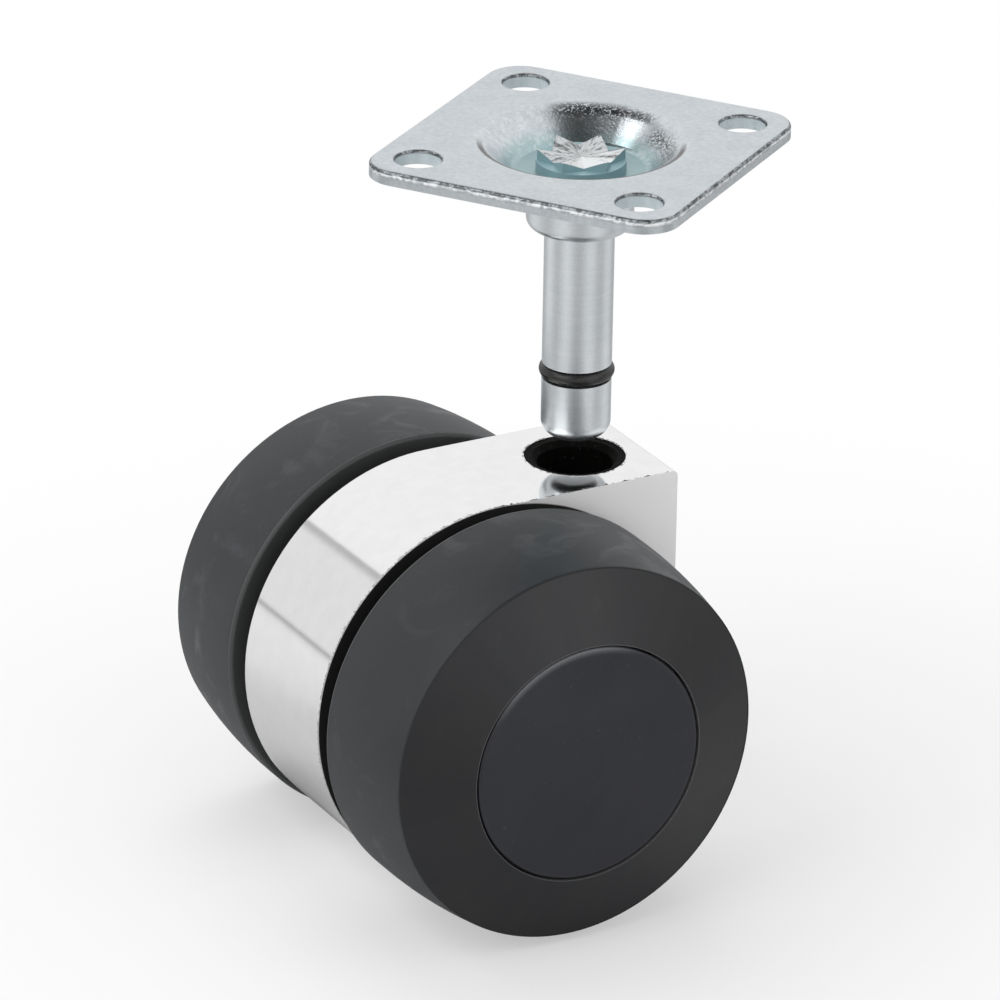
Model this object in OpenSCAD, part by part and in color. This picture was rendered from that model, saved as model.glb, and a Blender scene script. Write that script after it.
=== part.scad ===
// Twin-wheel furniture castor with a plug-in top plate.
// The origin is the centre of the plate's top face, on the swivel axis, with +Z up.
// The wheels turn about an axle along Y, which lies behind the pin by the trail, along -X.
// The plate and its pin are drawn pulled out: the castor's socket waits below the pin's tip.

/* [Top plate] */
// Side of the square plate
plate_side = 40; // [38:0.5:44]
// Thickness of the plate's sheet
plate_t = 1.8; // [1.5:0.1:2.2]
// Radius of the plate's corners
plate_corner_r = 4.5; // [3:0.5:5]
// Rolled-over radius of the plate's upper edge
plate_edge_r = 0.5; // [0.2:0.1:0.8]
// Turn of the plate about the swivel axis, in degrees
plate_turn = 35; // [0:5:90]
// Distance between neighbouring screw holes
hole_spacing = 29; // [28:0.5:30]
// Diameter of the screw holes
hole_d = 5.6; // [4.5:0.1:6]
// Rounding of the screw holes' upper edge
hole_edge_r = 0.4; // [0.2:0.1:0.6]
// Diameter of the pressed dimple where it leaves the top face
dimple_d = 24; // [22:0.5:25]
// Diameter of the dimple's flat floor
floor_d = 16.4; // [15:0.2:17]
// Depth of the dimple's floor below the top face
dimple_depth = 3.6; // [3.3:0.1:4.2]
// Radius of the sheet's outer side where it bends at the dimple's rim
rim_bend_r = 2.8; // [2.4:0.1:3]
// Radius of the sheet's inner side where it bends at the dimple's floor
floor_bend_r = 1; // [0.6:0.1:1.4]

/* [Pin] */
// Diameter of the pin's shank
pin_d = 8.5; // [8:0.1:9]
// Length of the shank below the collar
shank_len = 27; // [24:0.5:30]
// Rounding of the shank's tip
tip_r = 2; // [1:0.1:3]
// Diameter of the collar under the plate
collar_d = 13; // [12.8:0.1:14]
// Height of the collar
collar_h = 5.5; // [4:0.1:7]
// Rounding of the collar's lower edge
collar_edge_r = 1.3; // [0.6:0.1:2]
// Diameter of the neck that passes through the plate
neck_d = 7.6; // [6.5:0.1:8]
// Diameter of the staked head on the dimple's floor
head_d = 10.9; // [10:0.1:11.5]
// Height of the head's round part
head_h = 1.3; // [1:0.1:1.5]
// Height of the star above the head's round part
crown_h = 1.2; // [0.8:0.1:1.4]
// Number of points of the star
crown_points = 6; // [4:2:8]
// Share of the head's radius at which the star's valleys lie
crown_valley = 0.74; // [0.6:0.02:0.85]
// Depth of the staked grooves in the star
crown_groove = 0.95; // [0.6:0.05:1]
// Step between the star's points and the head's edge
crown_inset = 0.15; // [0.05:0.05:0.4]

/* [Retaining ring] */
// Thickness of the round ring
ring_t = 1.8; // [1.5:0.1:2]
// How far the ring stands proud of the shank
ring_proud = 0.35; // [0.2:0.05:0.5]
// Distance of the ring's middle from the shank's tip
ring_from_tip = 8.5; // [6:0.5:12]

/* [Socket] */
// Diameter of the hole in the housing
socket_d = 12.4; // [11.8:0.1:12.6]
// Depth of the sleeve's mouth below the housing's top face
sleeve_set_back = 0.2; // [0.1:0.1:0.5]
// Chamfer of the sleeve's mouth
sleeve_chamfer = 0.7; // [0.4:0.1:1]
// Thickness of the sleeve's closed bottom
sleeve_floor_t = 1.5; // [1:0.1:2.5]
// Depth of the sleeve's catch groove for the ring
catch_depth = 0.3; // [0.2:0.05:0.5]
// Distance of the swivel axis in front of the axle
trail = 15.5; // [15:0.1:16]
// Gap shown between the pin's tip and the socket's mouth
pulled_gap = 3; // [1:0.5:20]

/* [Housing] */
// Radius of the housing's round band, and reach of its square rear corner
housing_r = 24.4; // [24:0.1:24.8]
// Width of the housing
housing_w = 19.2; // [18.6:0.2:21]
// Thickness of the housing's band
band_t = 2.4; // [2:0.1:3]
// Thickness of the web between the two sides' pockets
web_t = 3; // [2:0.2:4]
// Rounding of the rear top corner
corner_r = 0.7; // [0.4:0.1:1.5]
// Height of the flat under the housing above the floor
ground_gap = 2.6; // [1:0.1:4]
// Radius of the boss round the axle
axle_boss_r = 7.4; // [6.5:0.1:8]
// How far the axle boss stands out of the housing's side
axle_boss_proud = 0.7; // [0.4:0.1:1]
// Thickness of the wall round the socket's hole
socket_wall = 2.4; // [2:0.1:3]
// Thickness of the ribs in the pockets
rib_t = 1.6; // [1.2:0.1:2]
// Depth of the ribs' edges below the housing's side
rib_set_back = 1.5; // [0.5:0.1:3]

/* [Axle and washers] */
// Diameter of the axle
axle_d = 6; // [5:0.1:7]
// Length of the axle past the outer face of each lock ring
axle_end = 1.5; // [1:0.1:2.5]
// Chamfer of the axle's ends
axle_chamfer = 0.5; // [0.3:0.1:0.8]
// Outer diameter of the thrust washers
washer_d = 12.4; // [10:0.1:12.6]
// Thickness of the thrust washers
washer_t = 1.2; // [1:0.1:1.5]
// Outer diameter of the lock rings
lock_d = 11; // [9:0.1:12]
// Thickness of the lock rings
lock_t = 0.8; // [0.6:0.1:1]
// Depth of the lock rings' groove in the axle
lock_groove = 0.6; // [0.4:0.05:0.8]

/* [Wheels] */
// Diameter of the wheels
wheel_d = 50; // [49.8:0.2:52]
// Gap between the housing's side and the wheel
wheel_gap = 2.85; // [2.5:0.05:4]
// Width of the tread
tread_w = 16.4; // [15:0.1:18]
// Thickness of the tread
tread_t = 3; // [2.5:0.1:3.5]
// Drop of the tread's crowned outer part, in radius
shoulder_drop = 1.2; // [0.8:0.1:2]
// Width of the tread's crowned outer part
shoulder_w = 13.7; // [8:0.1:15]
// Depth of the core's lip beside the tread's outer edge
lip_w = 1.8; // [1.2:0.1:2.4]
// Width of the tread's outer edge, beside that lip
tread_land = 0.2; // [0.1:0.05:0.4]
// Rounding of the tread's inner edge
tread_edge_r = 0.5; // [0.2:0.1:0.8]
// Width of the rib that keys the tread to the core
key_w = 3; // [2:0.2:4]
// Height of that rib
key_h = 0.8; // [0.4:0.1:1.2]
// Rise of the core's sloping face from its edge to the cap
face_rise = 3.2; // [2.4:0.1:3.8]
// Thickness of the core's rim
rim_t = 2; // [1.6:0.1:2.5]
// Radius of the core's hub
hub_r = 6.4; // [5.8:0.1:6.8]
// Length of the core's hub
hub_len = 12; // [10:0.5:13]
// Number of ribs in the core
core_ribs = 6; // [3:1:9]
// Outer diameter of the bearing bush
bush_d = 8.4; // [7.8:0.1:9]

/* [Cap] */
// Diameter of the wheel's cap
cap_d = 29.8; // [28:0.2:31]
// Gap between the cap and the core's face
cap_joint = 0.25; // [0.1:0.05:0.4]
// Thickness of the cap at its edge
cap_t = 2; // [1.5:0.1:2.4]
// Rise of the cap's dome at the middle
cap_dome = 0.5; // [0.2:0.1:1]
// Radius of the small flat in the middle of the dome
cap_flat_r = 1.5; // [1:0.5:3]
// Rounding of the cap's edge
cap_edge_r = 0.4; // [0.2:0.1:0.8]
// Radius of the well in the core that takes the cap's skirt
well_r = 9.5; // [8.5:0.1:10]
// Thickness of the wall round the well
well_wall = 2.2; // [1.6:0.1:2.4]
// Depth of the cap's skirt
skirt_len = 3.2; // [2:0.1:3.6]
// Thickness of the cap's skirt
skirt_t = 1; // [0.8:0.1:1.4]

/* [Fits] */
// Gap left at pieces that are pressed together
press_gap = 0.02; // [0.01:0.01:0.05]
// Radial clearance of turning fits
running_gap = 0.05; // [0.02:0.01:0.1]
// Play of the wheels along the axle, at each end
axial_play = 0.2; // [0.1:0.05:0.4]

/* [Hidden] */
$fn = 128;
eps = 0.01;
past = 1;
// Levels down the pin
collar_top_z = -dimple_depth - plate_t;
collar_z = collar_top_z - collar_h;
tip_flat = 0.1;
tip_z = collar_z - shank_len;
ring_z = tip_z + ring_from_tip;
ring_mid_r = pin_d / 2 + ring_proud - ring_t / 2;
// The castor's place while the pin is pulled out
mouth_z = tip_z - pulled_gap;
axle_x = -trail;
axle_z = mouth_z - housing_r;
// The sleeve's inside
bore_r = pin_d / 2 + ring_proud + running_gap;
tip_room = 0.6;
sleeve_depth = shank_len + tip_room;
socket_depth = sleeve_depth + sleeve_floor_t;
catch_z = collar_z - ring_z;
catch_w = ring_t + 0.4;
// Places along the axle, from the castor's middle plane
boss_y = housing_w / 2 + axle_boss_proud;
hub_in_y = boss_y + washer_t + axial_play;
hub_out_y = hub_in_y + hub_len;
lock_y = hub_out_y + axial_play;
axle_half = lock_y + lock_t + axle_end;
// The wheel's outline, as radius and place along the axle
wheel_r = wheel_d / 2;
wheel_in_y = housing_w / 2 + wheel_gap;
edge_y = wheel_in_y + tread_w;
edge_r = wheel_r - shoulder_drop;
lip_r = edge_r - tread_land;
seat_r = wheel_r - tread_t;
shoulder_r = (pow(shoulder_w, 2) + pow(shoulder_drop, 2)) / (2 * shoulder_drop);
cap_y = edge_y + face_rise;
recess_r = cap_d / 2 + cap_joint;
recess_y = cap_y - cap_t;
back_y = recess_y - cap_t;
ring_rib_r = well_r + well_wall;
cap_sphere_r = (pow(cap_d / 2, 2) + pow(cap_dome, 2)) / (2 * cap_dome);
cap_sphere_y = cap_y + cap_dome - cap_sphere_r;
cap_top_y = cap_sphere_y + sqrt(pow(cap_sphere_r, 2) - pow(cap_flat_r, 2));

// Turns a profile of radius and height about Z
module turned() {
    rotate_extrude() children();
}

// A square corner of a turned profile, rounded with radius r, filling from the axis out to x and down to y
module rounded_bar(x, top, bottom, r) {
    polygon([[0, top], [x, top], [x, bottom + r], [x - r, bottom], [0, bottom]]);
    translate([x - r, bottom + r]) circle(r);
}

// Puts what is drawn round the wheel axis, with the axis as +Z and outwards, on the left or right side
module on_axle(side) {
    translate([axle_x, 0, axle_z])
        mirror([0, side == "right" ? 1 : 0, 0])
            rotate([-90, 0, 0]) children();
}

// The area below the dimple's upper surface, or below a surface parallel to it and lower by drop
module below_dimple(drop) {
    slope = atan2(dimple_depth, (dimple_d - floor_d) / 2);
    tilted = [-sin(slope), cos(slope)];
    level = [0, 1];
    rim_mid = [dimple_d / 2 + rim_bend_r * tan(slope / 2), -rim_bend_r];
    floor_mid = [floor_d / 2 - floor_bend_r * tan(slope / 2), floor_bend_r - dimple_depth];
    upper_r = rim_bend_r - drop;
    lower_r = floor_bend_r + drop;
    deep = -3 * dimple_depth;
    difference() {
        union() {
            polygon([
                [0, deep], [0, -dimple_depth - drop],
                floor_mid - lower_r * level, floor_mid - lower_r * tilted,
                rim_mid + upper_r * tilted, rim_mid + upper_r * level,
                [plate_side, -drop], [plate_side, deep]
            ]);
            translate(rim_mid) circle(upper_r);
        }
        translate(floor_mid) circle(lower_r);
    }
}

// The pressed dish in the middle of the plate, out to the radius where the sheet is flat again
module dish(reach) {
    turned() intersection() {
        difference() {
            below_dimple(0);
            below_dimple(plate_t);
        }
        translate([neck_d / 2 + press_gap, -plate_side]) square([reach - neck_d / 2 - press_gap, 2 * plate_side]);
    }
}

// The plate's outline: a square with round corners
module plate_outline() {
    inner = plate_side - 2 * plate_corner_r;
    square([plate_side, inner], center = true);
    square([inner, plate_side], center = true);
    for (x = [-1, 1], y = [-1, 1])
        translate([x, y] * inner / 2) circle(plate_corner_r);
}

// What rolling an edge over takes off, for an edge whose corner lies at the origin
module rolled_off(r) {
    difference() {
        translate([-r, -r]) square(r + past);
        translate([-r, -r]) circle(r);
    }
}

// What is taken off all round the plate's upper edge
module plate_edge_cut() {
    inner = plate_side - 2 * plate_corner_r;
    for (i = [0:3]) rotate(90 * i) {
        translate([plate_side / 2, 0, 0]) rotate([90, 0, 0])
            linear_extrude(inner, center = true) rolled_off(plate_edge_r);
        translate([inner / 2, inner / 2, 0])
            rotate_extrude(angle = 90) translate([plate_corner_r, 0]) rolled_off(plate_edge_r);
    }
}

// A screw hole with a rolled upper edge
module screw_hole() {
    translate([0, 0, -plate_t - past]) cylinder(d = hole_d, h = plate_t + 2 * past);
    turned() difference() {
        translate([0, -hole_edge_r]) square([hole_d / 2 + hole_edge_r, hole_edge_r + past]);
        translate([hole_d / 2 + hole_edge_r, -hole_edge_r]) circle(hole_edge_r);
    }
}

// Square plate pressed from steel sheet
module plate() {
    reach = dimple_d / 2 + rim_bend_r;
    color("lightsteelblue") rotate(plate_turn) {
        difference() {
            translate([0, 0, -plate_t]) linear_extrude(plate_t) plate_outline();
            translate([0, 0, -plate_t - past]) cylinder(r = reach, h = plate_t + 2 * past);
            for (x = [-1, 1], y = [-1, 1])
                translate([x, y, 0] * hole_spacing / 2) screw_hole();
            plate_edge_cut();
        }
        dish(reach);
    }
}

// The star that staking leaves on the pin's head: pointed lobes with grooves between them
module crown() {
    step = 360 / crown_points;
    outer = head_d / 2 - crown_inset;
    half_w = outer * sin(step / 2);
    difference() {
        linear_extrude(crown_h + eps) polygon([
            for (i = [0 : 2 * crown_points - 1])
                (i % 2 == 0 ? outer : outer * crown_valley) * [cos(i * step / 2), sin(i * step / 2)]
        ]);
        for (i = [0 : crown_points / 2 - 1])
            rotate((i + 0.5) * step) translate([0, 0, crown_h])
                rotate([90, 0, 90]) linear_extrude(2 * head_d, center = true) polygon([
                    [-half_w, past], [-half_w, tip_flat], [0, -crown_groove], [half_w, tip_flat], [half_w, past]
                ]);
    }
}

// Turned steel pin, staked into the plate: head, neck, collar, shank and ring groove in one piece
module pin() {
    head_z = -dimple_depth;
    groove_r = ring_mid_r - ring_t / 2 - running_gap;
    groove_w = ring_t + 4 * running_gap;
    color("silver") {
        turned() difference() {
            union() {
                rounded_bar(pin_d / 2, collar_z, tip_z, tip_r);
                rounded_bar(collar_d / 2, collar_top_z, collar_z, collar_edge_r);
                translate([0, collar_top_z - eps]) square([neck_d / 2, plate_t + 2 * eps]);
                translate([0, head_z]) square([head_d / 2, head_h]);
            }
            translate([groove_r, ring_z - groove_w / 2]) square([pin_d, groove_w]);
        }
        rotate(plate_turn) translate([0, 0, head_z + head_h - eps]) crown();
    }
}

// Round ring in the pin's groove, which grips the sleeve when the pin is plugged in
module retaining_ring() {
    color([0.13, 0.13, 0.13]) translate([0, 0, ring_z])
        turned() translate([ring_mid_r, 0]) circle(d = ring_t);
}

// Plastic sleeve in the housing's hole, closed below
module socket_sleeve() {
    color([0.08, 0.08, 0.08]) translate([0, 0, mouth_z]) turned() difference() {
        translate([0, -socket_depth]) square([socket_d / 2 - press_gap, socket_depth - sleeve_set_back]);
        translate([0, -sleeve_depth]) square([bore_r, sleeve_depth + past]);
        translate([0, -catch_z - catch_w / 2]) square([bore_r + catch_depth, catch_w]);
        polygon([
            [0, past], [bore_r + sleeve_chamfer + past, past],
            [bore_r + sleeve_chamfer, -sleeve_set_back], [bore_r, -sleeve_set_back - sleeve_chamfer],
            [0, -sleeve_set_back - sleeve_chamfer]
        ]);
    }
}

// The housing's side view: a round band whose rear top corner is filled out square
module housing_outline(inset) {
    r = housing_r - inset;
    round_r = max(corner_r - inset, 0.2);
    circle(r);
    square([r, r - round_r]);
    square([r - round_r, r]);
    translate([r - round_r, r - round_r]) circle(round_r);
}

// The side view of the pockets: inside the band, clear of the axle boss and the socket's block
module pocket_outline() {
    block_x = trail - socket_d / 2 - socket_wall;
    block_z = housing_r - socket_depth - socket_wall;
    flat_z = ground_gap - wheel_r + band_t;
    difference() {
        intersection() {
            housing_outline(band_t);
            translate([-housing_r, flat_z]) square(2 * housing_r);
        }
        circle(axle_boss_r);
        translate([block_x, block_z]) square(2 * housing_r);
    }
}

// The ribs in the pockets: one ring halfway between the boss and the band, and spokes
module rib_outline() {
    ring_r = (axle_boss_r + housing_r - band_t) / 2;
    difference() {
        circle(ring_r + rib_t / 2);
        circle(ring_r - rib_t / 2);
    }
    for (a = [110, 145, 180, 215, 250, 290])
        rotate(a) translate([0, -rib_t / 2]) square([housing_r, rib_t]);
}

// Takes a pocket out of one side of the housing, from its side face in by depth
module pocket_cut(side, depth) {
    translate([0, side * ((housing_w + past) / 2 - depth / 2), 0])
        rotate([90, 0, 0]) linear_extrude(depth + past, center = true) children();
}

// Die-cast housing between the wheels, with the socket's hole, the axle's bore and a pocket on each side
module housing() {
    pocket_depth = (housing_w - web_t) / 2;
    color("gainsboro") translate([axle_x, 0, axle_z]) difference() {
        union() {
            rotate([90, 0, 0]) linear_extrude(housing_w, center = true) intersection() {
                housing_outline(0);
                translate([-housing_r, ground_gap - wheel_r]) square(2 * housing_r);
            }
            rotate([90, 0, 0]) cylinder(r = axle_boss_r, h = 2 * boss_y, center = true);
        }
        for (side = [-1, 1]) {
            pocket_cut(side, rib_set_back) pocket_outline();
            pocket_cut(side, pocket_depth) difference() {
                pocket_outline();
                rib_outline();
            }
        }
        rotate([90, 0, 0]) cylinder(d = axle_d + 2 * press_gap, h = housing_w + 2 * past + 2 * boss_y, center = true);
        translate([trail, 0, housing_r - socket_depth]) cylinder(d = socket_d, h = socket_depth + past);
    }
}

// Steel axle pressed through the housing, grooved for a lock ring near each end
module axle() {
    color("silver") translate([axle_x, 0, axle_z]) rotate([90, 0, 0]) turned() for (end = [-1, 1])
        scale([1, end]) difference() {
            polygon([
                [0, -eps], [axle_d / 2, -eps], [axle_d / 2, axle_half - axle_chamfer],
                [axle_d / 2 - axle_chamfer, axle_half], [0, axle_half]
            ]);
            translate([axle_d / 2 - lock_groove, lock_y - running_gap]) square([axle_d, lock_t + 2 * running_gap]);
        }
}

// Washer between the housing's boss and the wheel's hub
module thrust_washer(side) {
    color("ivory") on_axle(side) translate([0, 0, boss_y]) difference() {
        cylinder(d = washer_d, h = washer_t);
        translate([0, 0, -past]) cylinder(d = axle_d + 2 * running_gap, h = washer_t + 2 * past);
    }
}

// Open lock ring that snaps into the axle's groove and holds the wheel on
module lock_ring(side) {
    grip_r = axle_d / 2 - lock_groove + press_gap;
    slot_w = 1.5 * grip_r;
    color("dimgray") on_axle(side) translate([0, 0, lock_y]) linear_extrude(lock_t) difference() {
        circle(d = lock_d);
        circle(grip_r);
        translate([0, -slot_w / 2]) square([lock_d, slot_w]);
        for (a = [120, 240]) rotate(a) translate([grip_r, 0]) circle(lock_d / 8);
    }
}

// Bearing bush pressed into the wheel's hub, which runs on the axle
module bush(side) {
    color("ivory") on_axle(side) translate([0, 0, hub_in_y]) difference() {
        cylinder(d = bush_d - 2 * press_gap, h = hub_len);
        translate([0, 0, -past]) cylinder(d = axle_d + 2 * running_gap, h = hub_len + 2 * past);
    }
}

// The core's outer section, filled: hub, rim with its key rib and lip, sloping face and cap recess
module core_section() {
    key_y = wheel_in_y + (tread_w - lip_w) / 2;
    polygon([
        [bush_d / 2, hub_in_y], [hub_r, hub_in_y], [hub_r, wheel_in_y + eps], [seat_r, wheel_in_y + eps],
        [seat_r, key_y - key_w / 2], [seat_r + key_h, key_y - key_w / 2],
        [seat_r + key_h, key_y + key_w / 2], [seat_r, key_y + key_w / 2],
        [seat_r, edge_y - lip_w], [lip_r, edge_y],
        [recess_r, cap_y], [recess_r, recess_y], [well_r, recess_y], [well_r, hub_out_y], [bush_d / 2, hub_out_y]
    ]);
}

// The space between the core's hub, its ring rib, its rim and its outer wall, open to the inside
module core_hollow() {
    hub_gap_y = hub_out_y - well_wall;
    turned() {
        translate([hub_r, 0]) square([well_r - hub_r, hub_gap_y]);
        translate([ring_rib_r, 0]) square([seat_r - rim_t - ring_rib_r, back_y]);
    }
}

// Moulded nylon core of the wheel, ribbed inside
module wheel_core(side) {
    rib_in_y = wheel_in_y + 2 * rim_t;
    color([0.19, 0.19, 0.2]) on_axle(side) difference() {
        turned() core_section();
        difference() {
            core_hollow();
            for (i = [0 : core_ribs - 1])
                rotate(i * 360 / core_ribs) translate([0, -rib_t / 2, rib_in_y]) cube([seat_r, rib_t, back_y]);
        }
    }
}

// Soft tread moulded round the core, its surface crowned down to the outer edge
module tread(side) {
    color([0.24, 0.26, 0.27]) on_axle(side) turned() difference() {
        union() {
            translate([seat_r - rim_t, wheel_in_y]) square([tread_t + rim_t - tread_edge_r, tread_w]);
            translate([seat_r, wheel_in_y + tread_edge_r]) square([tread_t, tread_w - tread_edge_r]);
            translate([wheel_r - tread_edge_r, wheel_in_y + tread_edge_r]) circle(tread_edge_r);
        }
        difference() {
            translate([seat_r, edge_y - shoulder_w]) square([tread_t + past, shoulder_w + past]);
            translate([wheel_r - shoulder_r, edge_y - shoulder_w]) circle(shoulder_r, $fn = 720);
        }
        translate([0, wheel_in_y - past]) square([seat_r, tread_w + 2 * past]);
        core_section();
    }
}

// Snap-in cap that hides the axle's end: a domed disc with a skirt
module cap(side) {
    disc_r = cap_d / 2;
    color([0.18, 0.18, 0.2]) on_axle(side) turned() {
        intersection() {
            union() {
                translate([0, recess_y]) square([disc_r, cap_t - cap_edge_r]);
                translate([0, recess_y]) square([disc_r - cap_edge_r, 2 * cap_t]);
                translate([disc_r - cap_edge_r, cap_y - cap_edge_r]) circle(cap_edge_r);
            }
            translate([0, cap_sphere_y]) circle(cap_sphere_r, $fn = 720);
            translate([0, recess_y]) square([disc_r, cap_top_y - recess_y]);
        }
        translate([well_r - press_gap - skirt_t, recess_y - skirt_len]) square([skirt_t, skirt_len + eps]);
    }
}

plate();
pin();
retaining_ring();
housing();
socket_sleeve();
axle();
thrust_washer("left");  // left_thrust_washer
lock_ring("left");  // left_lock_ring
bush("left");  // left_bush
wheel_core("left");  // left_wheel_core
tread("left");  // left_tread
cap("left");  // left_cap
thrust_washer("right");  // right_thrust_washer
lock_ring("right");  // right_lock_ring
bush("right");  // right_bush
wheel_core("right");  // right_wheel_core
tread("right");  // right_tread
cap("right");  // right_cap
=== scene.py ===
import math

import bpy
from mathutils import Matrix, Vector


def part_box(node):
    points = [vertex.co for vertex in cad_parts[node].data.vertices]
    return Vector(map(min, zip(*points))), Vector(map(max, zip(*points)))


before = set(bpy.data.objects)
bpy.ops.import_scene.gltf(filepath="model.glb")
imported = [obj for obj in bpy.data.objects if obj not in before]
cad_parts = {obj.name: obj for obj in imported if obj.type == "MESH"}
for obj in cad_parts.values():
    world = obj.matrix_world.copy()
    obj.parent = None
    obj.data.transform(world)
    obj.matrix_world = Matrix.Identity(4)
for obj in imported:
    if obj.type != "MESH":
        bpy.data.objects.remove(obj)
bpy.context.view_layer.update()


# Camera. The photograph looks down on the castor from its front left through a long lens, with the
# round band of the housing on the left and its square corner on the right.
MM = 0.001
scene = bpy.context.scene
view_azimuth = math.radians(-29.21)
view_height = math.radians(23.79)
lean = math.radians(1.0)
camera_distance = 1.0
towards_camera = Vector((
    math.sin(view_azimuth) * math.cos(view_height),
    -math.cos(view_azimuth) * math.cos(view_height),
    math.sin(view_height),
))
level = Vector((math.cos(view_azimuth), math.sin(view_azimuth), 0))
plumb = towards_camera.cross(level)
to_the_right = level * math.cos(lean) + plumb * math.sin(lean)
upwards = plumb * math.cos(lean) - level * math.sin(lean)
lens = bpy.data.cameras.new("studio_camera")
lens.sensor_width = 36
lens.lens = 296
lens.clip_start, lens.clip_end = 0.01, 100
camera = bpy.data.objects.new("studio_camera", lens)
looked_at = Vector((-15.5, 0, -65.3)) * MM + to_the_right * (4.9 * MM) + upwards * (19.7 * MM)
camera.matrix_world = Matrix.Translation(looked_at + towards_camera * camera_distance) @ Matrix(
    (to_the_right, upwards, towards_camera)
).transposed().to_4x4()
scene.collection.objects.link(camera)
scene.camera = camera
scene.view_settings.view_transform = "Standard"


# Studio. A white tent all round gives soft light. Polished metal also sees the dim line where the
# tent meets the floor, the upright seam between two of its panels with the greyer panel beside it,
# a grey card beside the fill lamp, and the tent's open top, dark above the photographer.
class Socket:
    """A value in a node tree. Arithmetic on it adds Math nodes, also with the number on the left."""

    def __init__(self, tree, link):
        self.tree, self.link = tree, link

    def math(self, operation, *values):
        return self.tree.node("Math", {"operation": operation}, dict(enumerate(values)))[0]

    def __add__(self, other):
        return self.math("ADD", self, other)

    __radd__ = __add__

    def __mul__(self, other):
        return self.math("MULTIPLY", self, other)

    __rmul__ = __mul__

    def __sub__(self, other):
        return self.math("SUBTRACT", self, other)

    def __rsub__(self, other):
        return self.math("SUBTRACT", other, self)

    def __truediv__(self, other):
        return self.math("DIVIDE", self, other)

    def __pow__(self, other):
        return self.math("POWER", self, other)

    def __abs__(self):
        return self.math("ABSOLUTE", self)

    def at_least(self, other):
        return self.math("MAXIMUM", self, other)

    def rise(self, start, end):
        """0 up to start, 1 from end on, and a smooth S between them. With end below start it falls."""
        low, high, ends = (start, end, (0, 1)) if end > start else (end, start, (1, 0))
        return self.tree.node(
            "MapRange",
            {"interpolation_type": "SMOOTHSTEP"},
            {"Value": self, "From Min": low, "From Max": high, "To Min": ends[0], "To Max": ends[1]},
        )["Result"]

    def near(self, place, width):
        """1 at place, falling smoothly to 0 at width from it on either side."""
        return abs(self - place).rise(width, 0)


class Tree:
    """A node tree being wired: one method adds any node, and a few name the patterns that repeat."""

    def __init__(self, owner):
        owner.use_nodes = True
        self.nodes, self.links = owner.node_tree.nodes, owner.node_tree.links
        self.nodes.clear()

    def node(self, kind, settings=None, inputs=None):
        """Adds a node of that type, makes its settings, then fills its inputs, by name or number."""
        made = self.nodes.new("ShaderNode" + kind)
        for name, value in (settings or {}).items():
            if name == "stops":
                ramp = made.color_ramp
                while len(ramp.elements) < len(value):
                    ramp.elements.new(0.5)
                for element, (place, colour) in zip(ramp.elements, value):
                    element.position, element.color = place, (*colour, 1)
            else:
                setattr(made, name, value)
        for name, value in (inputs or {}).items():
            if isinstance(value, Socket):
                self.links.new(value.link, made.inputs[name])
            elif isinstance(value, tuple) and len(value) == 3 and made.inputs[name].type == "RGBA":
                made.inputs[name].default_value = (*value, 1)
            else:
                made.inputs[name].default_value = value
        return Outputs(self, made)

    def place(self):
        """The point's own place on its piece, in metres, as x, y and z."""
        parts = self.node("SeparateXYZ", {}, {0: self.node("TexCoord")["Object"]})
        return parts["X"], parts["Y"], parts["Z"]

    def vector(self, x, y, z):
        return self.node("CombineXYZ", {}, {"X": x, "Y": y, "Z": z})[0]

    def noise(self, at, scale, detail=3.0, roughness=0.5, distortion=0.0):
        """Cloudy noise from 0 to 1 round 0.5, with that many clouds to the metre."""
        return self.node("TexNoise", {}, {
            "Vector": at, "Scale": scale, "Detail": detail, "Roughness": roughness, "Distortion": distortion,
        })[0]

    def mix(self, share, first, second):
        """Colour first where share is 0, and second where it is 1."""
        return self.node("Mix", {"data_type": "RGBA"}, {0: share, 6: first, 7: second})[2]

    def bump(self, height, distance, strength=1.0, after=None):
        """A surface normal pushed out by height, of that many metres where height is 1."""
        inputs = {"Height": height, "Distance": distance, "Strength": strength}
        if after is not None:
            inputs["Normal"] = after
        return self.node("Bump", {}, inputs)[0]


class Outputs:
    """The outputs of one node, by name or number, each as a Socket."""

    def __init__(self, tree, made):
        self.tree, self.made = tree, made

    def __getitem__(self, name):
        return Socket(self.tree, self.made.outputs[name])


world = bpy.data.worlds.new("studio_tent")
scene.world = world
tent = Tree(world)
ray = tent.node("LightPath")
looking = tent.node("TexCoord")["Generated"]
direction = tent.node("SeparateXYZ", {}, {0: looking})
tent_seen = tent.node("ValToRGB", {"stops": [
    (0.000, (0.70,) * 3), (0.486, (0.72,) * 3), (0.495, (0.67,) * 3), (0.500, (0.69,) * 3),
    (0.508, (0.90,) * 3), (1.000, (0.94,) * 3),
]}, {0: direction["Z"] * 0.5 + 0.5})[0]


def outwards_at(azimuth, height):
    """The direction at that azimuth and height in degrees, from the castor."""
    turn, rise = math.radians(azimuth), math.radians(height)
    return Vector((math.sin(turn) * math.cos(rise), -math.cos(turn) * math.cos(rise), math.sin(rise)))


def share_along(azimuth, height=0):
    """How far a ray's direction points along that azimuth and height, from -1 to 1."""
    return tent.node("VectorMath", {"operation": "DOT_PRODUCT"}, {
        0: looking, 1: tuple(outwards_at(azimuth, height)),
    })["Value"]


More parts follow.
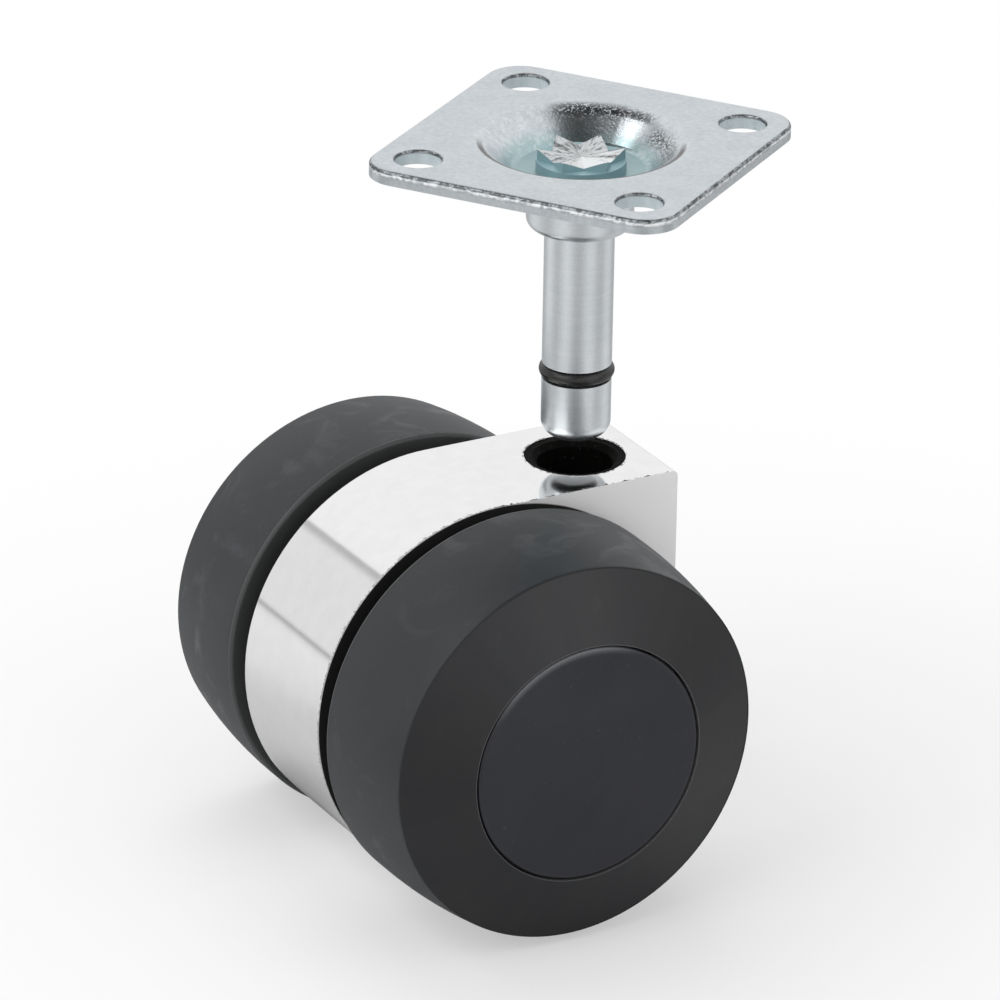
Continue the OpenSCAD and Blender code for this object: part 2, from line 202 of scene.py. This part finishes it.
nothing, white = (0.0, 0.0, 0.0), (1.0, 1.0, 1.0)
seam_azimuth = 204
past_seam = share_along(seam_azimuth + 90)
behind = share_along(seam_azimuth).rise(0.1, 0.4)
grey_panel = past_seam.rise(-0.015, 0.015) * behind
seam_line = past_seam.rise(-0.020, -0.010) * past_seam.rise(0.040, -0.006) * behind
open_top = share_along(-80, 62).rise(0.66, 0.78)
grey_card = share_along(52, 15).rise(0.955, 0.985)
for shade in (grey_panel * 0.14, seam_line * 0.45, open_top * 0.9, grey_card * 0.55):
    tent_seen = tent.mix(shade, tent_seen, nothing)
mirrored = ray["Is Glossy Ray"].at_least(ray["Is Transmission Ray"])
tent_light = 0.58
tent_colour = tent.mix(mirrored, (tent_light,) * 3, tent_seen)
tent_colour = tent.mix(ray["Is Camera Ray"], tent_colour, white)
tent.node("OutputWorld", {}, {0: tent.node("Background", {}, {"Color": tent_colour, "Strength": 1.0})[0]})

aim = Vector((-8, 0, -50)) * MM
for name, azimuth, height, distance, size, share, mirrored_too in (
    ("key_softbox", -80, 40, 1.3, 1.0, 0.34, True),
    ("back_softbox", -123, 50, 1.1, 0.32, 0.07, True),
    ("fill_softbox", 30, 18, 1.4, 1.3, 0.12, True),
    ("top_softbox", 165, 60, 1.4, 1.0, 0.24, False),
):
    # share is the lamp's part of the light on a surface that faces it, where 1 shows a colour as written
    outwards = outwards_at(azimuth, height)
    softbox = bpy.data.lights.new(name, "AREA")
    softbox.shape, softbox.size = "SQUARE", size
    softbox.energy = share * math.pi**2 * distance**2
    lamp = bpy.data.objects.new(name, softbox)
    turned = outwards.to_track_quat("Z", "Y").to_matrix().to_4x4()
    lamp.matrix_world = Matrix.Translation(aim + outwards * distance) @ turned
    lamp.visible_camera, lamp.visible_glossy = False, mirrored_too
    scene.collection.objects.link(lamp)


# Floor. Pale painted board that the wheels stand on. It holds the castor's shadow, and away from the
# castor it runs out into plain white. Polished metal sees it dimmer, with a ring of grey and white
# cards laid out round the castor, which give the pin its soft upright stripes.
floor_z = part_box("left_tread")[0].z
floor_mesh = bpy.data.meshes.new("floor")
floor_reach = 8.0
corners = ((-1, -1), (1, -1), (1, 1), (-1, 1))
floor_mesh.from_pydata([(x * floor_reach, y * floor_reach, floor_z) for x, y in corners], [], [(0, 1, 2, 3)])
floor = bpy.data.objects.new("floor", floor_mesh)
scene.collection.objects.link(floor)
board = bpy.data.materials.new("floor_board")
paint = Tree(board)
x, y, z = paint.place()
from_axis = (x * x + y * y) ** 0.5
away = from_axis.rise(0.04, 0.15)
grain = paint.noise(paint.vector(x, y, z), 60, 4)
looked = paint.node("LightPath")
azimuth = x.math("ARCTAN2", x, y * -1.0)
greyer_card = x.math("COSINE", (azimuth - view_azimuth) * 5.0) * 0.5 + 0.5
card_shade = (greyer_card - 0.35) * from_axis.rise(0.06, 0.11) + 0.35
colour = paint.mix(grain, (0.91, 0.91, 0.91), (0.94, 0.94, 0.94))
colour = paint.mix(looked["Is Glossy Ray"] * (0.16 + 0.42 * card_shade), colour, nothing)
painted = paint.node("BsdfPrincipled", {}, {
    "Base Color": colour, "Roughness": 0.7, "Specular IOR Level": 0.2,
})[0]
plain_white = paint.node("Emission", {}, {"Color": white, "Strength": 1.0})[0]
paint.node("OutputMaterial", {}, {0: paint.node("MixShader", {}, {
    0: (0.45 + 0.55 * away) * looked["Is Camera Ray"], 1: painted, 2: plain_white,
})[0]})
floor_mesh.materials.append(board)


# Top plate. Square plate blanked and pressed from steel sheet, then zinc plated: a blue-grey satin
# with fine mottling, coarser where the dimple stretched the sheet, and torn low on its sheared edge.
# Painted shade darkens the dimple's far wall, its far rim and one speckled side of it, and painted
# dark lines run along its near rim and the rolled top edge. The torn band, flecks on the far wall and
# the hole walls are painted pale and less metallic, as painted glints and painted reflection.
def finish_node(material, *names):
    """Gives each named CAD node that material in every slot."""
    for name in names:
        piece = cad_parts[name]
        if not piece.data.materials:
            piece.data.materials.append(material)
        for slot in piece.material_slots:
            slot.material = material


def out_of(tree, **inputs):
    """Ends a tree in the Principled shader with those inputs, with spaces for the underscores."""
    spaced = {name.replace("_", " "): value for name, value in inputs.items()}
    tree.node("OutputMaterial", {}, {0: tree.node("BsdfPrincipled", {}, spaced)[0]})


plate_turn = math.radians(35)
plate_half = 20 * MM
plate_corner = 25.6 * MM
dimple_rim, dimple_foot, dimple_slope = 12 * MM, 8.3 * MM, 0.95


def on_side_at(degrees):
    """1 on the side of the swivel axis that lies at that many degrees from X, and -1 opposite it."""
    turn = math.radians(degrees)
    return (x * math.cos(turn) + y * math.sin(turn)) / from_axis


sheet = bpy.data.materials.new("zinc_plated_sheet")
zinc = Tree(sheet)
x, y, z = zinc.place()
here = zinc.vector(x, y, z)
along = x * math.cos(plate_turn) + y * math.sin(plate_turn)
across = y * math.cos(plate_turn) - x * math.sin(plate_turn)
from_axis = (x * x + y * y) ** 0.5
below_top = z * -1.0
over_skin = z + dimple_slope * (dimple_rim - from_axis).at_least(0)
upper_skin = over_skin.rise(-1.4 * MM, -1.0 * MM)
wall = from_axis.rise(dimple_foot - 0.8 * MM, dimple_foot) * from_axis.rise(13.6 * MM, 12.2 * MM) * upper_skin
outermost = abs(along).at_least(abs(across)).rise(plate_half - 0.6 * MM, plate_half - 0.3 * MM)
outermost = outermost.at_least(from_axis.rise(plate_corner - 0.8 * MM, plate_corner))
edge_side = below_top.rise(0.25 * MM, 0.5 * MM) * outermost
cloud = zinc.noise(here, 260, 4, 0.55)
mottle = zinc.noise(here, 1400, 3, 0.6)
fine_grain = zinc.noise(here, 5200, 2, 0.6)
speckle = zinc.noise(here, 3300, 2, 0.65)
tear = zinc.noise(zinc.vector(along * 0.7, across * 0.7, z), 1700, 4, 0.7, 0.8)
sheared = edge_side * below_top.near(0.66 * MM, 0.34 * MM)
torn_glints = sheared * tear.rise(0.46, 0.54)
rolled_edge_shade = below_top.rise(0.02 * MM, 0.12 * MM) * below_top.rise(0.54 * MM, 0.40 * MM)
rolled_edge_shade = rolled_edge_shade * (0.45 + 0.55 * tear.rise(0.60, 0.44)) * from_axis.rise(14 * MM, 15 * MM)
hole_wall = below_top.rise(0.3 * MM, 0.5 * MM) * from_axis.rise(16.5 * MM, 17 * MM) * (1 - edge_side)
coarse_speckled_shade = from_axis.near(10.4 * MM, 1.7 * MM) * on_side_at(-20).rise(0.84, 0.93) * upper_skin
clear_patch = on_side_at(17).rise(0.93, 0.985)
shaded_far_side = on_side_at(45.6).rise(0.78, 0.93) * upper_skin
far_wall_glints = wall * shaded_far_side * speckle.rise(0.56, 0.64) * from_axis.rise(10 * MM, 11.6 * MM) * 0.7
rub_marks_and_near_rim_shade = from_axis.rise(11.7 * MM, 12.05 * MM) * from_axis.rise(12.75 * MM, 12.4 * MM)
rub_marks_and_near_rim_shade = rub_marks_and_near_rim_shade * on_side_at(240.6).rise(-0.1, 0.25) * upper_skin
tone = cloud.rise(0.25, 0.75) * 0.2 + mottle.rise(0.3, 0.7) * 0.35 + fine_grain.rise(0.3, 0.7) * 0.45
colour = zinc.mix(tone, (0.54, 0.585, 0.615), (0.76, 0.80, 0.825))
colour = zinc.mix(from_axis.rise(10.4 * MM, 8.6 * MM) * 0.8, colour, (0.37, 0.53, 0.55))
colour = zinc.mix(wall * mottle.rise(0.5, 0.62) * 0.35, colour, (0.80, 0.84, 0.87))
# painted shade: one side of the dimple's wall darkened, broken by coarse speckle
colour = zinc.mix(coarse_speckled_shade * speckle.rise(0.42, 0.55) * 0.9, colour, (0.08, 0.085, 0.09))
# painted shade: the dimple's far wall darkened, except a clear patch left smooth and unshaded
colour = zinc.mix(wall * shaded_far_side * (1 - clear_patch) * 0.6, colour, (0.16, 0.17, 0.18))
# painted shade: the dimple's far rim darkened, broken by speckle
far_rim_shade = shaded_far_side * from_axis.near(11.8 * MM, 1.4 * MM) * speckle.rise(0.60, 0.46)
colour = zinc.mix(far_rim_shade * 0.85, colour, (0.10, 0.10, 0.11))
# painted glints: pale, less metallic flecks in the painted shade of the far wall
colour = zinc.mix(far_wall_glints, colour, (0.85, 0.88, 0.90))
# painted shade: a dark line along the dimple's near rim
colour = zinc.mix(rub_marks_and_near_rim_shade * 0.95, colour, (0.10, 0.09, 0.09))
# painted shade: a dark line along the rolled top edge, broken by the tear noise
colour = zinc.mix(rolled_edge_shade * 0.9, colour, (0.05, 0.05, 0.052))
colour = zinc.mix(edge_side * 0.1, colour, (0.36, 0.38, 0.40))
# painted reflection: the hole walls painted pale blue-grey and less metallic, so they show lighter
colour = zinc.mix(hole_wall * 0.7, colour, (0.55, 0.64, 0.67))
# painted glints: the torn band low on the sheared edge painted white and less metallic
colour = zinc.mix(torn_glints, colour, (0.96, 0.97, 0.98))
rough = 0.36 - 0.04 * cloud.rise(0.35, 0.7) + 0.08 * fine_grain - 0.10 * wall - 0.12 * torn_glints
skin = zinc.bump(mottle * 0.5 + fine_grain * 0.5, 0.016 * MM, 0.6)
skin = zinc.bump(speckle * wall * (1 - clear_patch), 0.035 * MM, 0.9, skin)
skin = zinc.bump(tear * sheared, 0.2 * MM, 0.8, skin)
# the painted glints and pale hole walls are made less metallic, so their painted colour shows
painted_pale_share = 0.8 * torn_glints + 0.7 * hole_wall + 0.8 * far_wall_glints
out_of(zinc, Base_Color=colour, Metallic=1.0 - painted_pale_share, Roughness=rough, Normal=skin)
finish_node(sheet, "plate")


# Pin. Turned from steel bar, grooved for the ring, staked into the plate and zinc plated with it.
# Fine turning marks run round it. The plating on its round head is blue-green, and the staked star
# above shows the punch's coarse facets, bright in front. Painted shade darkens the star's lobes
# behind, with dark streaks.
star_z = -2.3 * MM
bar = bpy.data.materials.new("zinc_plated_pin")
zinc = Tree(bar)
x, y, z = zinc.place()
here = zinc.vector(x, y, z)
from_axis = (x * x + y * y) ** 0.5
facing_up = zinc.node("SeparateXYZ", {}, {0: zinc.node("TexCoord")["Normal"]})["Z"]
staked = z.rise(star_z + 0.02 * MM, star_z + 0.15 * MM) * facing_up.rise(0.2, 0.45)
head = z.rise(star_z - 2.0 * MM, star_z - 1.4 * MM)
far_lobes_shade = on_side_at(-82.5).rise(0.95, 0.1) * staked
turned = zinc.noise(zinc.vector(from_axis * 0.4, from_axis * 0.4, z), 2600, 2, 0.7)
cloud = zinc.noise(here, 330, 4, 0.55)
fine_grain = zinc.noise(here, 4200, 2, 0.6)
punched = zinc.noise(here, 1700, 3, 0.6, 0.5)
round_angle = x.math("ARCTAN2", y, x)
ridges = x.math("COSINE", (round_angle - plate_turn) * 18.0) * from_axis.rise(0, 5 * MM)
streak = zinc.noise(zinc.vector(round_angle * 0.003, from_axis * 0.2, 0), 2600, 3, 0.65)
tone = cloud.rise(0.25, 0.75) * 0.4 + fine_grain.rise(0.3, 0.7) * 0.35 + turned.rise(0.3, 0.7) * 0.25
colour = zinc.mix(tone, (0.75, 0.795, 0.825), (0.90, 0.935, 0.955))
colour = zinc.mix(head * 0.85, colour, (0.22, 0.40, 0.44))
colour = zinc.mix(staked * 0.9, colour, (0.96, 0.97, 0.97))
# painted shade: the star's lobes darkened away from the front right, with dark streaks
colour = zinc.mix(far_lobes_shade * 0.5, colour, (0.42, 0.44, 0.46))
colour = zinc.mix(far_lobes_shade * streak.rise(0.50, 0.60) * 0.85, colour, (0.16, 0.17, 0.18))
rough = 0.35 + 0.08 * fine_grain - 0.06 * cloud + 0.05 * head - 0.25 * staked
skin = zinc.bump(turned * (1 - staked), 0.006 * MM, 0.5)
skin = zinc.bump(fine_grain, 0.010 * MM, 0.4, skin)
skin = zinc.bump(ridges * staked, -0.022 * MM, 1.0, skin)
skin = zinc.bump((punched * 0.8 + streak * 0.2) * staked, 0.10 * MM, 0.6, skin)
out_of(zinc, Base_Color=colour, Metallic=1.0 - 0.6 * head + 0.5 * staked, Roughness=rough, Normal=skin)
finish_node(bar, "pin")


# Retaining ring. Round cord ring of black rubber in the pin's groove, slightly oily, with a faint
# moulding line round its outside.
ring_z = -29.4 * MM
rubber = bpy.data.materials.new("ring_rubber")
black = Tree(rubber)
x, y, z = black.place()
here = black.vector(x, y, z)
film = black.noise(here, 500, 3, 0.55)
specks = black.noise(here, 3800, 2, 0.6)
parting = (z - ring_z).near(0, 0.05 * MM)
colour = black.mix(film, (0.010, 0.010, 0.0095), (0.020, 0.020, 0.018))
colour = black.mix(specks.rise(0.62, 0.74) * 0.4, colour, (0.06, 0.06, 0.055))
skin = black.bump(specks, 0.01 * MM, 0.4)
skin = black.bump(parting, 0.03 * MM, 0.5, skin)
out_of(black, Base_Color=colour, Roughness=0.20 + 0.14 * film, Normal=skin)
finish_node(rubber, "retaining_ring")


# Housing. Die cast in zinc, ground on its band and top, then chromed to a mirror with a trace of
# waviness. Its side faces stay satin, but beside the band they are painted near black, as painted
# shade in the gap by the wheels. Its pockets are as cast, and the plating is chipped in small bites
# along the ground edges and round the socket.
axle_x, axle_z = -15.5 * MM, -65.3 * MM
side_y = 9.6 * MM
band_r, band_inner_r = 24.4 * MM, 21 * MM
socket_r = 6.2 * MM


def round_axle():
    """The point's place out from the axle, forwards and upwards, and how far it lies from it."""
    out_x, out_z = x - axle_x, z - axle_z
    return out_x, out_z, (out_x * out_x + out_z * out_z) ** 0.5


chrome = bpy.data.materials.new("chrome_housing")
plated = Tree(chrome)
x, y, z = plated.place()
here = plated.vector(x, y, z)
from_axle = round_axle()[2]
from_socket = (x * x + y * y) ** 0.5
on_side = abs(y).rise(side_y - 0.06 * MM, side_y - 0.01 * MM)
top_z = axle_z + band_r
on_top = z.rise(top_z - 0.05 * MM, top_z - 0.01 * MM)
inside = abs(y).rise(side_y - 0.3 * MM, side_y - 0.7 * MM)
inside = inside * from_axle.rise(band_inner_r + 1.2 * MM, band_inner_r + 0.6 * MM)
wave = plated.noise(here, 85, 2, 0.45)
haze = plated.noise(here, 420, 4, 0.6)
grain = plated.noise(here, 3000, 3, 0.65)
nick = plated.noise(here, 1500, 3, 0.7)
hole_edge = on_top * from_socket.near(socket_r, 0.35 * MM) * nick.rise(0.46, 0.58)
beside_band = from_axle.rise(band_r + 0.1 * MM, band_r - 0.1 * MM)
beside_band = beside_band * from_axle.rise(band_inner_r - 0.5 * MM, band_inner_r) * (1 - inside)
gap_side_shade = on_side * beside_band
ragged = (nick - 0.5) * (1.7 * MM) - y
band_edge = ragged.rise(side_y - 0.30 * MM, side_y - 0.20 * MM) * (1 - on_side) * beside_band
block_edge = ragged.rise(side_y - 0.16 * MM, side_y - 0.08 * MM) * (1 - on_side) * on_top
block_edge = block_edge * nick.rise(0.46, 0.54)
worn = hole_edge.at_least(band_edge).at_least(block_edge)
colour = plated.mix(haze.rise(0.3, 0.7), (0.90, 0.90, 0.905), (0.935, 0.935, 0.935))
colour = plated.mix(on_side * 0.9, colour, (0.96, 0.955, 0.96))
colour = plated.mix(inside, colour, (0.42, 0.42, 0.43))
# real chips, and painted shade: near black on the side faces beside the band, in the gap by the wheels
colour = plated.mix(worn.at_least(gap_side_shade), colour, (0.008, 0.008, 0.0075))
rough = 0.045 + 0.03 * haze + on_side * (0.24 + 0.10 * grain) + inside * 0.3 + worn.at_least(gap_side_shade) * 0.4
skin = plated.bump(wave, 0.008 * MM, 0.5)
skin = plated.bump(grain * (on_side + inside), 0.02 * MM, 0.6, skin)
skin = plated.bump(worn, -0.06 * MM, 0.6, skin)
out_of(plated, Base_Color=colour, Metallic=1.0 - 0.95 * on_side.at_least(worn), Roughness=rough, Normal=skin)
finish_node(chrome, "housing")


# Socket sleeve. Black plastic sleeve pressed into the housing's hole, scraped dull by the pin and a
# little dusty and greasy at its mouth.
sleeve = bpy.data.materials.new("sleeve_plastic")
black = Tree(sleeve)
x, y, z = black.place()
here = black.vector(x, y, z)
grit = black.noise(here, 2300, 3, 0.7)
smear = black.noise(black.vector(x, y, z * 0.15), 900, 3, 0.6)
colour = black.mix(smear, (0.002, 0.002, 0.002), (0.006, 0.006, 0.005))
colour = black.mix(grit.rise(0.64, 0.72) * 0.5, colour, (0.12, 0.12, 0.11))
skin = black.bump(grit, 0.08 * MM, 0.7)
out_of(black, Base_Color=colour, Roughness=0.5 + 0.2 * smear, Specular_IOR_Level=0.04, Normal=skin)
finish_node(sleeve, "socket_sleeve")


# Axle. Bright drawn steel rod pressed through the housing and grooved near its ends for the lock
# rings, with fine drawing lines along it.
rod = bpy.data.materials.new("axle_steel")
steel = Tree(rod)
x, y, z = steel.place()
drawn = steel.noise(steel.vector(x, y * 0.04, z), 2400, 3, 0.6)
spots = steel.noise(steel.vector(x, y, z), 700, 3, 0.6)
colour = steel.mix(spots, (0.50, 0.49, 0.475), (0.62, 0.61, 0.60))
skin = steel.bump(drawn, 0.008 * MM, 0.5)
out_of(steel, Base_Color=colour, Metallic=1.0, Roughness=0.24 + 0.14 * drawn, Normal=skin)
finish_node(rod, "axle")


# Lock rings. Stamped from spring steel strip, oil blackened, and snapped into the axle's grooves,
# where they keep the wheels on.
strip = bpy.data.materials.new("spring_steel")
steel = Tree(strip)
x, y, z = steel.place()
here = steel.vector(x, y, z)
oiled = steel.noise(here, 900, 4, 0.6)
grain = steel.noise(here, 4200, 2, 0.6)
colour = steel.mix(oiled, (0.045, 0.045, 0.05), (0.11, 0.105, 0.10))
skin = steel.bump(grain, 0.01 * MM, 0.5)
out_of(steel, Base_Color=colour, Metallic=0.9, Roughness=0.3 + 0.15 * oiled, Normal=skin)
finish_node(strip, "left_lock_ring", "right_lock_ring")


# Thrust washers and bushes. Natural nylon, ivory and slightly waxy, with grey rub marks from the
# turning wheels. The washers sit beside the housing, and the bushes are pressed into the hubs.
nylon = bpy.data.materials.new("nylon")
ivory = Tree(nylon)
x, y, z = ivory.place()
here = ivory.vector(x, y, z)
from_axle = round_axle()[2]
rub_marks_and_near_rim_shade = ivory.noise(ivory.vector(from_axle, from_axle, y * 0.3), 3200, 2, 0.6)
cloud = ivory.noise(here, 420, 3, 0.5)
colour = ivory.mix(cloud, (0.66, 0.62, 0.52), (0.76, 0.73, 0.64))
colour = ivory.mix(rub_marks_and_near_rim_shade.rise(0.56, 0.7) * 0.5, colour, (0.34, 0.33, 0.30))
skin = ivory.bump(rub_marks_and_near_rim_shade, 0.01 * MM, 0.5)
out_of(ivory, Base_Color=colour, Roughness=0.38 + 0.12 * cloud, Normal=skin)
finish_node(nylon, "left_thrust_washer", "right_thrust_washer", "left_bush", "right_bush")


# Wheel cores. Moulded in black glass-filled nylon. The sloping face outside has a fine matt skin
# with faint streaks where the plastic flowed out from the middle. The wall of the joint round the cap
# is painted pale grey, painted light that softens the shadow in the gap.
joint_r = 15.15 * MM
core = bpy.data.materials.new("core_plastic")
moulded = Tree(core)
x, y, z = moulded.place()
here = moulded.vector(x, y, z)
out_x, out_z, from_axle = round_axle()
round_place = moulded.vector(out_x / from_axle, out_z / from_axle, from_axle * 9.0)
flow = moulded.noise(round_place, 5.0, 4, 0.6, 0.6)
cloud = moulded.noise(here, 70, 4, 0.55, 0.8)
skin_grain = moulded.noise(here, 3600, 2, 0.6)
scuff = moulded.noise(moulded.vector(x, y, z * 0.22), 520, 4, 0.65, 0.3)
tone = flow.rise(0.3, 0.7) * 0.5 + cloud.rise(0.3, 0.7) * 0.5
colour = moulded.mix(tone, (0.0075, 0.0080, 0.0110), (0.0125, 0.0127, 0.0140))
colour = moulded.mix(scuff.rise(0.6, 0.75) * 0.25, colour, (0.035, 0.035, 0.034))
# painted light: the joint's wall round the cap painted pale grey, softening the shadow in the gap
colour = moulded.mix(from_axle.near(joint_r, 0.07 * MM) * 0.9, colour, (0.15, 0.15, 0.155))
rough = 0.33 + 0.10 * cloud + 0.05 * skin_grain - 0.06 * flow
skin = moulded.bump(skin_grain, 0.008 * MM, 0.35)
skin = moulded.bump(flow, 0.02 * MM, 0.25, skin)
out_of(moulded, Base_Color=colour, Roughness=rough, Normal=skin)
finish_node(core, "left_wheel_core", "right_wheel_core")


# Treads. Soft dark grey polyurethane moulded round the cores, with a satin skin, faint finger marks
# and dust, and a fine mould line where the tread meets the core's face.
seam_r, seam_y = 23.7 * MM, 28.85 * MM
tread_r, inner_y = 24 * MM, 12.85 * MM
tyre = bpy.data.materials.new("soft_tread")
soft = Tree(tyre)
x, y, z = soft.place()
here = soft.vector(x, y, z)
from_axle = round_axle()[2]
wide = abs(y)
cloud = soft.noise(here, 45, 4, 0.55, 0.7)
smudge = soft.noise(here, 120, 5, 0.62, 1.2)
skin_grain = soft.noise(here, 3000, 3, 0.6)
dust = soft.noise(here, 1900, 2, 0.5)
seam = from_axle.near(seam_r, 0.35 * MM) * wide.near(seam_y, 0.35 * MM)
inner_side = wide.rise(inner_y + 0.1 * MM, inner_y - 0.3 * MM)
outer_part = from_axle.rise(tread_r, tread_r + 0.4 * MM)
edge_shade_line = wide.near(inner_y + 0.3 * MM, 0.16 * MM) * outer_part
edge_highlight = wide.near(inner_y, 0.25 * MM) * outer_part
colour = soft.mix(cloud.rise(0.3, 0.7), (0.0170, 0.0200, 0.0235), (0.0235, 0.0270, 0.0315))
colour = soft.mix(smudge.rise(0.52, 0.72) * 0.5, colour, (0.040, 0.045, 0.052))
colour = soft.mix(dust.rise(0.70, 0.78) * 0.35, colour, (0.12, 0.12, 0.12))
# painted light: the tread's inner side, which lies in shade by the housing, painted lighter
colour = soft.mix(inner_side * 0.8, colour, (0.060, 0.062, 0.060))
# painted highlight: a thin paler line on the tread's inner edge
colour = soft.mix(edge_highlight * 0.5, colour, (0.09, 0.095, 0.10))
# painted shade: a thin dark line where the crown turns into the inner edge
colour = soft.mix(edge_shade_line * 0.7, colour, (0.006, 0.006, 0.006))
colour = soft.mix(seam * 0.8, colour, (0.004, 0.004, 0.004))
rough = 0.40 + 0.10 * cloud + 0.08 * skin_grain - 0.14 * smudge.rise(0.5, 0.75)
skin = soft.bump(skin_grain, 0.012 * MM, 0.4)
skin = soft.bump(smudge, 0.02 * MM, 0.2, skin)
skin = soft.bump(seam, -0.10 * MM, 0.6, skin)
out_of(soft, Base_Color=colour, Roughness=rough, Normal=skin)
finish_node(tyre, "left_tread", "right_tread")


# Caps. Snapped into the wheels' middles. Moulded in black plastic with a smoother, faintly blue
# skin than the core's, with hair-fine scratches and a little dust. The upper front of the shoulder
# carries a painted sheen, a paler crescent.
cap_r = 14.9 * MM
sheen_angle = math.radians(106.3)
cover = bpy.data.materials.new("cap_plastic")
smooth = Tree(cover)
x, y, z = smooth.place()
here = smooth.vector(x, y, z)
out_x, out_z, from_axle = round_axle()
cloud = smooth.noise(here, 90, 4, 0.55, 0.6)
hair = smooth.noise(smooth.vector(x, y, z * 0.12), 900, 3, 0.6, 0.8)
skin_grain = smooth.noise(here, 4200, 2, 0.6)
dust = smooth.noise(here, 2100, 2, 0.5)
colour = smooth.mix(cloud.rise(0.3, 0.7), (0.0082, 0.0093, 0.0160), (0.0125, 0.0135, 0.0205))
colour = smooth.mix(dust.rise(0.71, 0.78) * 0.3, colour, (0.10, 0.10, 0.10))
rim = from_axle.near(cap_r - 0.3 * MM, 0.35 * MM)
colour = smooth.mix(rim * 0.4, colour, (0.03, 0.03, 0.032))
upper_front = (out_x * math.cos(sheen_angle) + out_z * math.sin(sheen_angle)) / from_axle
painted_sheen = from_axle.rise(cap_r - 1.2 * MM, cap_r - 0.05 * MM) ** 2.0 * upper_front.rise(0.70, 0.97)
# painted sheen: a paler crescent on the upper front of the cap's shoulder
colour = smooth.mix(painted_sheen * 0.9, colour, (0.15, 0.155, 0.165))
rough = 0.24 + 0.08 * cloud + 0.08 * hair.rise(0.58, 0.72)
skin = smooth.bump(skin_grain, 0.004 * MM, 0.35)
skin = smooth.bump(hair.rise(0.6, 0.72), -0.004 * MM, 0.4, skin)
out_of(smooth, Base_Color=colour, Roughness=rough, Normal=skin)
finish_node(cover, "left_cap", "right_cap")
